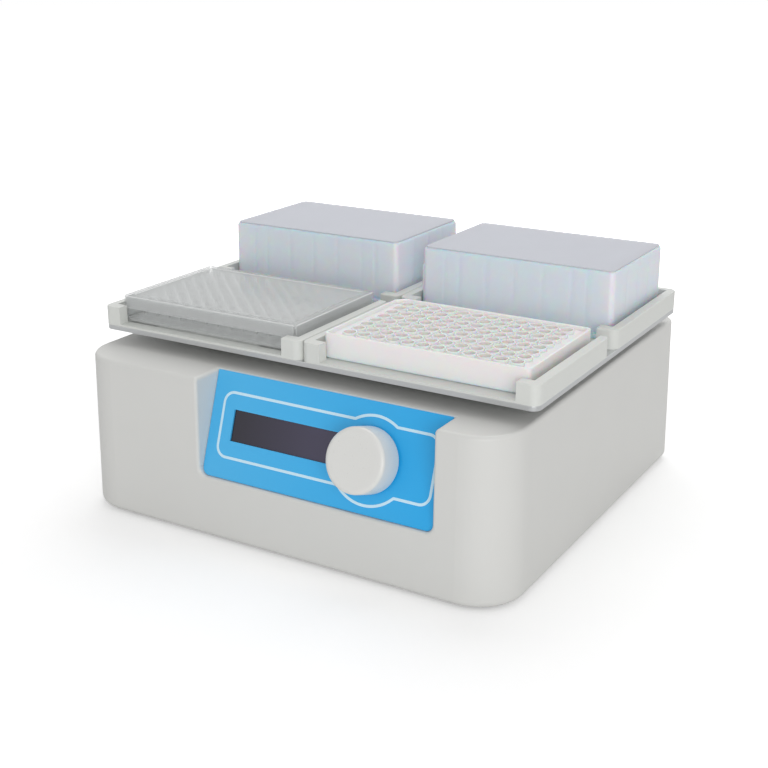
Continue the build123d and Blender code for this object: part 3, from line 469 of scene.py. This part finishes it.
def shallow_plate_parts(plates, cut, straight):
    """A 96-well plate's wells and body, standing on z = 0.

    The body is one profile carried round the plate: from the wells' edge along the sunken deck, up
    inside the thin raised border, over it, down the side, down to the bench and back in under the
    plate. Unless the plate is straight-sided, it steps out over a flange on the way down.
    """
    size = middle_of("white_plate")[1]
    top = size.z
    deck = top - plates.deck_drop
    rim = deck + plates.rim_height
    mouth = plates.well_radius
    outer = mouth + plates.rim_width
    count = 4 * plates.cell_steps
    rings = [
        raised(circle_loop(radius, count), height)
        for radius, height in (
            (outer + 0.1 * MM, deck), (outer, rim), (mouth, rim),
            (mouth * 0.95, deck - plates.well_depth),
        )
    ]
    cells, faces = well_cells(plates.well_pitch, WELL_COLUMNS, WELL_ROWS, plates.cell_steps, rings)
    steps = (WELL_COLUMNS * plates.cell_steps, WELL_ROWS * plates.cell_steps)
    body = PLATE_BODY
    border = plates.border_width
    profile = [
        (body, -border - 0.2 * MM, deck, 1.2), (body, -border, top - 0.15 * MM, 1.4),
        (body, 0.2 * MM - border, top, 1.5),
        (body, -0.35 * MM, top, 2.2), (body, 0, top - 0.35 * MM, 2.4),
    ]
    foot = (size.x, size.y)
    if straight:
        profile += [
            (body, 0, 0.75 * MM, 2.4), (body, -1.2 * MM, 0.7 * MM, 1.6), (body, -1.2 * MM, 0, 1.6),
            (body, -3.0 * MM, 0, 1.4), (body, -3.2 * MM, 1.0 * MM, 1.4),
        ]
    else:
        profile += [
            (body, 0, 2.9 * MM, 2.4), (foot, -2.2 * MM, 2.4 * MM, 2.6), (foot, -0.3 * MM, 2.4 * MM, 3.0),
            (foot, 0, 2.1 * MM, 3.2), (foot, 0, 0.2 * MM, 3.2), (foot, -0.3 * MM, 0, 3.0),
            (foot, -3.0 * MM, 0, 2.0), (foot, -3.2 * MM, 1.0 * MM, 2.0),
        ]
    field = (WELL_COLUMNS * plates.well_pitch, WELL_ROWS * plates.well_pitch)
    loops = [raised(rounded_loop(field, 0, steps, 0), deck)]
    for (width, depth), grown, height, radius in profile:
        reach = (width + 2 * grown, depth + 2 * grown)
        loop = rounded_loop(reach, radius * MM, steps, 4)
        if cut:
            loop = cut_corner(loop, reach[0] / 2, reach[1] / 2, cut)
        loops.append(raised(loop, height))
    vertices, quads = strips(loops)
    last = np.arange(len(vertices) - len(loops[0]), len(vertices))
    body_faces = quads[:, ::-1].tolist() + [last[::-1].tolist()]
    return [(cells, [face[::-1] for face in faces]), (vertices, body_faces)]


class SHAKER_OT_white_plate(bpy.types.Operator):
    """Make the white 96-well plate with its raised rims"""

    bl_idname = "shaker.white_plate"
    bl_label = "White Plate"

    def execute(self, context):
        scene = context.scene
        # Polystyrene, injection moulded and opaque: bright white, and light bleeds between its thin walls
        material = finish(
            "white_polystyrene", scene.shaker_finishes.white_plate, 0.32, 1.0, 0.003, 0.008, IOR=1.59,
            Subsurface_Weight=0.6, Subsurface_Scale=4 * MM,
        )
        place, _ = middle_of("white_plate")
        make_piece(
            "white_96_well_plate", shallow_plate_parts(scene.shaker_plates, 5 * MM, True), place,
            "white_plate", [material], ("white_plate",),
        )
        return {"FINISHED"}


def clear_polystyrene(name, code, veil, glare):
    """Crystal polystyrene: light passes face on, and the more a wall slants away the more white glare is painted
    on it.

    The cover, the alpha of a white surface, is the veil face on, and grows to the glare with the Fresnel share of
    reflected light: a painted reflection.
    """
    material = finish(name, hex_colour(code), 0.12, 1.5, 0.004, 0.01, spread=0.04, IOR=1.59)
    slant = add_node(material.node_tree, "ShaderNodeLayerWeight", values={"Blend": 0.5})
    cover = add_node(
        material.node_tree, "ShaderNodeMapRange", values={"To Min": veil, "To Max": glare},
        links={"Value": slant.outputs["Fresnel"]},
    )
    shader = first(material, "ShaderNodeBsdfPrincipled")
    # Painted glare: the white surface shows more the more the wall slants, in place of reflected light
    material.node_tree.links.new(cover.outputs[0], shader.inputs["Alpha"])
    return material


class SHAKER_OT_clear_plate(bpy.types.Operator):
    """Make the clear 96-well plate and its lid"""

    bl_idname = "shaker.clear_plate"
    bl_label = "Clear Plate and Lid"

    def execute(self, context):
        plates = context.scene.shaker_plates
        place, _ = middle_of("clear_plate")
        # Walls let nearly all light through, with a painted white glare where they slant; the rims and edges
        # gather light, and that glow is a painted highlight: a nearly opaque white material on them
        wall_finish = clear_polystyrene("crystal_polystyrene", "#F6F8F8", 0.04, 0.75)
        lid_finish = clear_polystyrene("crystal_polystyrene_lid", "#F6F8F8", 0.04, 0.6)
        # Painted highlight: a nearly opaque white material for the rims and edges, in place of the light they
        # catch
        edge_highlight = clear_polystyrene("crystal_polystyrene_painted_highlight", "#FCFDFD", 0.5, 1.0)
        top = place.z + middle_of("white_plate")[1].z
        rim = top - plates.deck_drop + plates.rim_height

        def on_rim(middle):
            """The wells' rims and the plate's raised border, which wear the painted white highlight."""
            return (abs(middle[:, 2] - rim) < 0.02 * MM) | (abs(middle[:, 2] - top) < 0.3 * MM)

        make_piece(
            "clear_96_well_plate", shallow_plate_parts(plates, 0, False), place,
            "clear_plate", [wall_finish, edge_highlight], ("clear_plate",),
            second=on_rim,
        )
        place, size = middle_of("clear_lid")
        wall = 0.8 * MM
        steps = (24, 16)
        high = size.z
        ridge = plates.lid_step
        profile = (
            (wall, 0, 1.6), (0, 0, 2.4), (0, high - 0.5 * MM, 2.4), (0.15 * MM, high - 0.15 * MM, 2.3),
            (0.5 * MM, high, 2.1), (ridge, high, 2.0), (ridge + 0.5 * MM, high - 0.45 * MM, 2.0),
        )
        loops = [
            raised(rounded_loop((size.x - 2 * inset, size.y - 2 * inset), radius * MM, steps, 4), height)
            for inset, height, radius in profile
        ]
        outside, quads = strips(loops)
        inner = [
            raised(rounded_loop((size.x - 2 * wall, size.y - 2 * wall), 1.6 * MM, steps, 4), height)
            for height in (0, high - 1.0 * MM)
        ]
        inside, inner_quads = strips(inner)
        count = len(loops[0])
        cap = np.arange(len(outside) - count, len(outside)).tolist()
        inner_cap = np.arange(len(inside) - count, len(inside))[::-1].tolist()

        def on_edge(middle):
            """The lid's lower edge, its rounded top edge and its ridge, which wear the painted white highlight.
            """
            half = np.array((size.x / 2, size.y / 2))
            inset = (half - abs(middle[:, :2] - np.array(place[:2]))).min(axis=1)
            height = middle[:, 2] - place.z
            rounded = (height > high - 0.45 * MM) & (inset < 0.45 * MM)
            stepped = (abs(inset - ridge - 0.25 * MM) < 0.24 * MM) & (height > high - 0.4 * MM)
            return rounded | stepped | (height < 0.01 * MM)

        make_piece(
            "clear_plate_lid",
            [(outside, quads.tolist() + [cap]), (inside, inner_quads[:, ::-1].tolist() + [inner_cap])],
            place, "clear_lid", [lid_finish, edge_highlight], ("clear_lid",), second=on_edge,
        )
        return {"FINISHED"}


def fluted(loop, deep):
    """Draws soft grooves into a loop: inwards by depth x exp(-(u / width)^2), u the distance to a groove.

    Grooves lie between every two wells. On the long sides u is measured along x, and on the short
    sides along y.
    """
    outward = np.where(abs(loop[:, 1]) > DEEP_BODY[1] / 2 - 3 * MM, 1, 0)
    along = np.where(outward == 1, loop[:, 0], loop[:, 1])
    limit = np.where(outward == 1, (DEEP_COLUMNS - 1) / 2, (DEEP_ROWS - 1) / 2) * DEEP_SPACING
    nearest = np.clip(np.round(along / DEEP_SPACING) * DEEP_SPACING, -limit, limit)
    push = deep * np.exp(-(((along - nearest) / FLUTE_WIDTH) ** 2))
    moved = loop.copy()
    moved[:, 1] -= np.sign(loop[:, 1]) * push * outward
    moved[:, 0] -= np.sign(loop[:, 0]) * push * (1 - outward)
    return moved


def deep_plate_parts(size):
    """A deep-well plate: square wells, a fluted wall that narrows upwards, a flange and a left step."""
    top = size.z
    steps = (DEEP_COLUMNS * DEEP_CELL_STEPS, DEEP_ROWS * DEEP_CELL_STEPS)
    cell = [
        raised(rounded_loop((side * MM, side * MM), 1.5 * MM, (DEEP_CELL_STEPS, DEEP_CELL_STEPS), 4), height)
        for side, height in ((16.6, top), (16.2, top - 0.3 * MM), (15.6, 3 * MM))
    ]
    cells, faces = well_cells(DEEP_SPACING, DEEP_COLUMNS, DEEP_ROWS, DEEP_CELL_STEPS, cell)
    field = (DEEP_COLUMNS * DEEP_SPACING, DEEP_ROWS * DEEP_SPACING)
    loops = [raised(rounded_loop(field, 0, steps, 0), top)]
    for inset, height, radius, deep in (
        (1.6, top, 2.6, 0.0), (0.9, top - 0.15 * MM, 3.0, 0.15), (0.4, top - 0.6 * MM, 3.2, 0.3),
        (0.2, top - 1.6 * MM, 3.2, 0.45), (0.0, 8 * MM, 3.2, 0.45), (0.0, 2.8 * MM, 3.2, 0.45),
    ):
        reach = (DEEP_BODY[0] - 2 * inset * MM, DEEP_BODY[1] - 2 * inset * MM)
        loop = rounded_loop(reach, radius * MM, steps, 6)
        loops.append(raised(fluted(loop, deep * MM), height))
    for grown, height in ((-2.4, 2.4), (-0.3, 2.4), (0, 2.1), (0, 0.2), (-0.3, 0), (-3.0, 0), (-3.2, 1.2)):
        loop = rounded_loop((size.x + 2 * grown * MM, size.y + 2 * grown * MM), 3.0 * MM, steps, 6)
        loops.append(raised(loop, height * MM))
    vertices, quads = strips(loops)
    last = np.arange(len(vertices) - len(loops[0]), len(vertices))
    ear = [
        raised(rounded_loop(
            ((EAR_WIDTH - 2 * inset) * MM, (EAR_LENGTH - 2 * inset) * MM), 0.8 * MM, (12, 32), 3
        ), height * MM)
        for inset, height in ((0, 2.0), (0, 25.9), (0.2, 26.3), (0.6, 26.5))
    ]
    ear_points, ear_quads = strips(ear)
    ear_points = ear_points + np.array((EAR_WIDTH / 2 * MM - size.x / 2, 0, 0))
    ends = np.arange(len(ear[0]))
    ear_faces = ear_quads.tolist() + [ends[::-1].tolist(), (ends + len(ear_points) - len(ends)).tolist()]
    body_faces = quads[:, ::-1].tolist() + [last[::-1].tolist()]
    return [(cells, [face[::-1] for face in faces]), (vertices, body_faces), (ear_points, ear_faces)]


class SHAKER_OT_deep_plates(bpy.types.Operator):
    """Make the two hazy deep-well plates"""

    bl_idname = "shaker.deep_plates"
    bl_label = "Deep-Well Plates"

    def execute(self, context):
        # Polypropylene, injection moulded: hazy, so light sinks in and comes back soft and bluish
        haze = finish(
            "hazy_polypropylene", context.scene.shaker_finishes.haze, 0.34, 1.2, 0.006, 0.015, IOR=1.49,
            Subsurface_Weight=1.0, Subsurface_Scale=9 * MM,
        )
        for side in ("left", "right"):
            node = "deep_plate_" + side
            place, size = middle_of(node)
            make_piece(
                "deep_well_plate_" + side, deep_plate_parts(size), place, node,
                [haze], (node,), smooth=40,
            )
        return {"FINISHED"}


def on_panel(points):
    """Points given along the panel, up it and out of it, put in their place on the leaning panel."""
    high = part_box("control_fascia")[1]
    up = np.array((0, sin(PANEL_TILT), cos(PANEL_TILT)))
    out = np.array((0, -cos(PANEL_TILT), sin(PANEL_TILT)))
    top = np.array((0, high[1] - PANEL_THICKNESS * cos(PANEL_TILT), high[2]))
    return top + points[:, :1] * np.array((1, 0, 0)) + points[:, 1:2] * up + points[:, 2:3] * out


class SHAKER_OT_knob(bpy.types.Operator):
    """Turn the speed knob"""

    bl_idname = "shaker.knob"
    bl_label = "Knob"

    def execute(self, context):
        # ABS, polished in the tool: off-white, with a broad soft highlight round its edge
        material = finish("moulded_abs_knob", context.scene.shaker_finishes.knob, 0.3, 0.9, 0.003, 0.01)
        low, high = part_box("control_knob")
        count = KNOB_SEGMENTS
        profile = (
            (17.2, 0), (17.7, 0.35), (17.72, 2.0), (17.45, 13.6), (17.2, 14.5), (16.6, 15.15),
            (15.8, 15.5), (14.8, 15.58), (12.0, 15.45), (6.0, 15.3),
        )
        loops = [raised(circle_loop(radius * MM, count), height * MM) for radius, height in profile]
        hollow = [raised(circle_loop(KNOB_BORE * MM, count), height * MM) for height in (3.4, 0)]
        vertices, quads = strips(hollow + loops)
        ends = np.arange(count)
        faces = quads.tolist() + [ends[::-1].tolist(), (ends + len(vertices) - count).tolist()]
        x = (low[0] + high[0]) / 2
        vertices = vertices + np.array((x, -KNOB_DROP, KNOB_GAP))
        make_piece(
            "speed_knob", [(on_panel(vertices), faces)], (0, 0, 0), "speed_knob", [material],
            ("control_knob",), smooth=40,
        )
        return {"FINISHED"}


class SHAKER_OT_panel_line(bpy.types.Operator):
    """Print the pale line round the display and the knob"""

    bl_idname = "shaker.panel_line"
    bl_label = "Panel Line"

    def execute(self, context):
        panel = context.scene.shaker_panel
        # Screen-printed ink under the film: pale blue, with the panel's own satin
        material = finish("printed_line_ink", context.scene.shaker_finishes.line, 0.4, 0.6, 0.002, 0.01)
        low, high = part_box("control_knob")
        vertices, faces = knob_line(panel, (low[0] + high[0]) / 2)
        make_piece(
            "panel_line", [(on_panel(vertices), faces)], (0, 0, 0), "base", [material], smooth=60
        )
        return {"FINISHED"}


def knob_line(panel, knob_x):
    """The printed line as a thin closed ribbon in the panel's own plane.

    Seen from the knob's centre, the line stands at the greater of two distances: the bulge's radius,
    and the distance to a rectangle with round corners. It is sampled evenly along its length, and the
    ribbon's two edges lie half its width to either side, across the line's direction.
    """
    centre = np.array((knob_x, -LINE_DROP))
    left, right, top, bottom = -41.5 * MM, 92.4 * MM, -11.0 * MM, -47.0 * MM
    middle = np.array(((left + right) / 2, (top + bottom) / 2))
    box = rounded_loop((right - left, top - bottom), panel.corner_radius, (400, 120), 16) + middle - centre
    angles = np.arctan2(box[:, 1], box[:, 0])
    order = np.argsort(angles)
    spread = np.linspace(-pi, pi, 20001)[:-1]
    reach = np.interp(spread, angles[order], np.hypot(*box[order].T), period=2 * pi)
    reach = np.maximum(reach, panel.bulge_radius)
    line = np.stack((np.cos(spread), np.sin(spread)), axis=1) * reach[:, None] + centre
    ends = np.vstack((line, line[:1]))
    length = np.concatenate(((0,), np.cumsum(np.hypot(*np.diff(ends, axis=0).T))))
    even = np.linspace(0, length[-1], 481)[:-1]
    line = np.stack((np.interp(even, length, ends[:, 0]), np.interp(even, length, ends[:, 1])), axis=1)
    along = np.roll(line, -1, axis=0) - np.roll(line, 1, axis=0)
    along /= np.hypot(*along.T)[:, None]
    across = np.stack((along[:, 1], -along[:, 0]), axis=1) * panel.line_width / 2
    loops = [
        raised(line + across, 0.01 * MM), raised(line + across, panel.ink_height),
        raised(line - across, panel.ink_height), raised(line - across, 0.01 * MM),
    ]
    vertices, quads = strips(loops + loops[:1])
    return vertices, quads.tolist()


class SHAKER_OT_studio(bpy.types.Operator):
    """Set the lamps, the floor and the white surround"""

    bl_idname = "shaker.studio"
    bl_label = "Studio"

    def execute(self, context):
        scene = context.scene
        studio = scene.shaker_studio
        scene.view_settings.view_transform = "Standard"
        for name, power, place, size in (
            ("front_lamp", studio.key_power, (1.35, -1.7, 0.55), 1.2),
            ("top_lamp", studio.top_power, (-0.3, 0.9, 1.7), 1.5),
        ):
            lamp = bpy.data.lights.new(name, "AREA")
            lamp.energy = power
            lamp.size = size
            holder = bpy.data.objects.new(name, lamp)
            holder.location = place
            holder.rotation_euler = (Vector((0, 0, 0.08)) - Vector(place)).to_track_quat("-Z", "Y").to_euler()
            scene.collection.objects.link(holder)
        world = bpy.data.worlds.new("white_surround")
        world.use_nodes = True
        tree = world.node_tree
        tree.nodes.clear()
        path = add_node(tree, "ShaderNodeLightPath")
        seen = add_node(
            tree, "ShaderNodeMath", {"operation": "ADD", "use_clamp": True},
            links={0: path.outputs["Is Camera Ray"], 1: path.outputs["Is Glossy Ray"]},
        )
        seen = add_node(
            tree, "ShaderNodeMath", {"operation": "ADD", "use_clamp": True},
            links={0: seen.outputs[0], 1: path.outputs["Is Transmission Ray"]},
        )
        strength = add_node(
            tree, "ShaderNodeMapRange", values={"To Min": studio.sky, "To Max": 1.0},
            links={"Value": seen.outputs[0]},
        )
        light = add_node(
            tree, "ShaderNodeBackground", values={"Color": (1, 1, 1, 1)}, links={"Strength": strength.outputs[0]}
        )
        add_node(tree, "ShaderNodeOutputWorld", links={"Surface": light.outputs["Background"]})
        scene.world = world
        # A matt white sweep: lifted for the camera alone, a little near the shaker, so that the shadow
        # stays, and to full white away from it
        material = bpy.data.materials.new("matt_white_sweep")
        material.use_nodes = True
        tree = material.node_tree
        tree.nodes.clear()
        place = add_node(tree, "ShaderNodeTexCoord")
        paper = add_node(
            tree, "ShaderNodeTexNoise", values={"Scale": 1 / (60 * MM)}, links={"Vector": place.outputs["Object"]}
        )
        shade = add_node(
            tree, "ShaderNodeMix", {"data_type": "RGBA"},
            {6: hex_colour("#F2F2F2") + (1,), 7: hex_colour("#F5F5F5") + (1,)}, {0: paper.outputs["Fac"]},
        )
        matt = add_node(tree, "ShaderNodeBsdfDiffuse", links={"Color": shade.outputs[2]})
        path = add_node(tree, "ShaderNodeLightPath")
        away = add_node(
            tree, "ShaderNodeVectorMath", {"operation": "LENGTH"}, links={0: place.outputs["Object"]}
        )
        white = add_node(
            tree, "ShaderNodeMapRange", values={"From Min": 0.25, "From Max": 0.75, "To Min": 0.3, "To Max": 1.0},
            links={"Value": away.outputs["Value"]},
        )
        lift = add_node(
            tree, "ShaderNodeMath", {"operation": "MULTIPLY"},
            links={0: white.outputs[0], 1: path.outputs["Is Camera Ray"]},
        )
        glow = add_node(tree, "ShaderNodeEmission", links={"Strength": lift.outputs[0]})
        both = add_node(
            tree, "ShaderNodeAddShader", links={0: matt.outputs["BSDF"], 1: glow.outputs["Emission"]}
        )
        add_node(tree, "ShaderNodeOutputMaterial", links={"Surface": both.outputs["Shader"]})
        angle = np.arange(FLOOR_SEGMENTS) * 2 * pi / FLOOR_SEGMENTS
        rim = raised(np.stack((np.cos(angle), np.sin(angle)), axis=1) * FLOOR_RADIUS, 0)
        mesh = bpy.data.meshes.new("floor")
        mesh.from_pydata(rim.tolist(), [], [list(range(FLOOR_SEGMENTS))])
        mesh.materials.append(material)
        floor = bpy.data.objects.new("floor", mesh)
        scene.collection.objects.link(floor)
        return {"FINISHED"}


class SHAKER_OT_camera(bpy.types.Operator):
    """Place the camera"""

    bl_idname = "shaker.camera"
    bl_label = "Camera"

    def execute(self, context):
        studio = context.scene.shaker_studio
        low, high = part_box("platform_plate")
        target = Vector((-6.65 * MM, (low[1] + high[1]) / 2 - 3.88 * MM, 59.74 * MM))
        level = cos(studio.elevation)
        away = Vector((sin(studio.azimuth) * level, -cos(studio.azimuth) * level, sin(studio.elevation)))
        lens = bpy.data.cameras.new("camera")
        lens.lens = studio.lens
        lens.sensor_width = 36
        lens.clip_start = 0.01
        camera = bpy.data.objects.new("camera", lens)
        camera.location = target + studio.distance * away
        camera.rotation_euler = (-away).to_track_quat("-Z", "Y").to_euler()
        context.scene.collection.objects.link(camera)
        context.scene.camera = camera
        return {"FINISHED"}


class SHAKER_PT_tools(bpy.types.Panel):
    """The shaker's tools in the sidebar"""

    bl_label = "Microplate Shaker"
    bl_idname = "SHAKER_PT_tools"
    bl_space_type = "VIEW_3D"
    bl_region_type = "UI"
    bl_category = "Shaker"

    def draw(self, context):
        for operator in operators:
            self.layout.operator(operator.bl_idname)


operators = (
    SHAKER_OT_camera,
    SHAKER_OT_finishes,
    SHAKER_OT_white_plate,
    SHAKER_OT_clear_plate,
    SHAKER_OT_deep_plates,
    SHAKER_OT_knob,
    SHAKER_OT_panel_line,
    SHAKER_OT_studio,
)
settings = {
    "shaker_plates": PlateSettings,
    "shaker_panel": PanelSettings,
    "shaker_finishes": FinishSettings,
    "shaker_studio": StudioSettings,
}


def register():
    """Registers the classes and hangs the settings on the scene."""
    for group in (*settings.values(), *operators, SHAKER_PT_tools):
        bpy.utils.register_class(group)
    for name, group in settings.items():
        setattr(bpy.types.Scene, name, PointerProperty(type=group))


def unregister():
    """Takes the settings and the classes away again."""
    for name in settings:
        delattr(bpy.types.Scene, name)
    for group in (SHAKER_PT_tools, *reversed(operators), *settings.values()):
        bpy.utils.unregister_class(group)


def main():
    """Makes the pieces, the materials and the stage in order."""
    register()
    bpy.ops.shaker.camera()
    bpy.ops.shaker.finishes()
    bpy.ops.shaker.white_plate()
    bpy.ops.shaker.clear_plate()
    bpy.ops.shaker.deep_plates()
    bpy.ops.shaker.knob()
    bpy.ops.shaker.panel_line()
    bpy.ops.shaker.studio()


if __name__ == "__main__":
    main()
